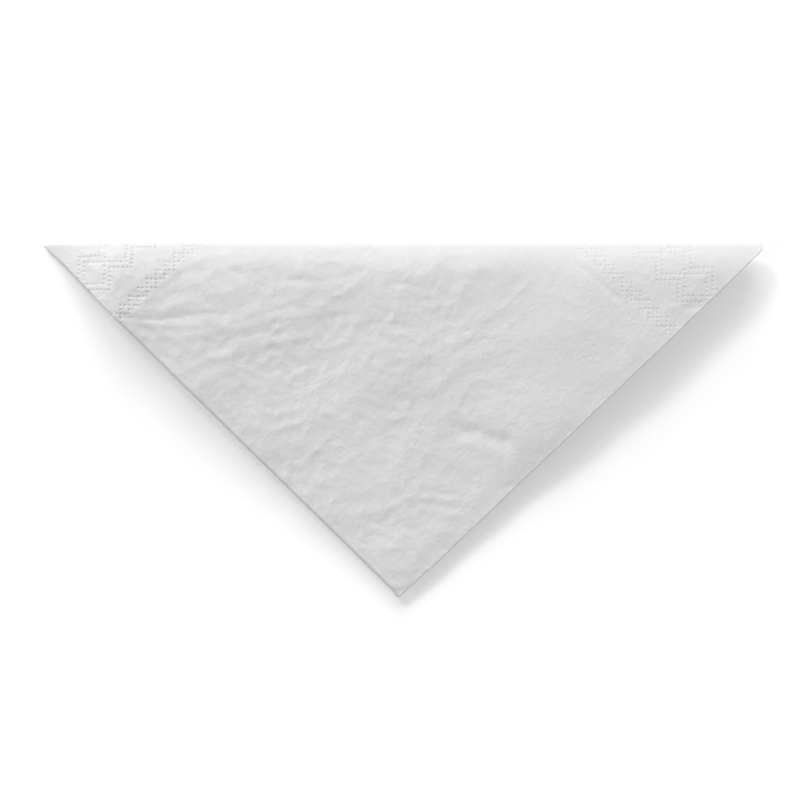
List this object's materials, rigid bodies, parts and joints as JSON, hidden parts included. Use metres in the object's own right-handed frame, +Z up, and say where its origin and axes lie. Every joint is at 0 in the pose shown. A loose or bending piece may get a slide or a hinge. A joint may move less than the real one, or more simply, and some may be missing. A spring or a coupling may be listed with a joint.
{
  "type": "paper napkin",
  "caption": "White tissue napkin folded in half twice and then along the diagonal into a triangle, with a loose, springy last fold.",
  "frame": {"origin": "bottom centre of the box, on the surface that the napkin lies on", "axes": "+X along the long side, the last fold; +Y towards that fold and away from the apex; +Z up, out of the surface"},
  "size_m": [0.2334, 0.1158, 0.0126],
  "materials": {
    "tissue_paper": "matte white embossed two-ply tissue"
  },
  "bodies": {
    "root": {"napkin": "tissue_paper"}
  },
  "joints": []
}
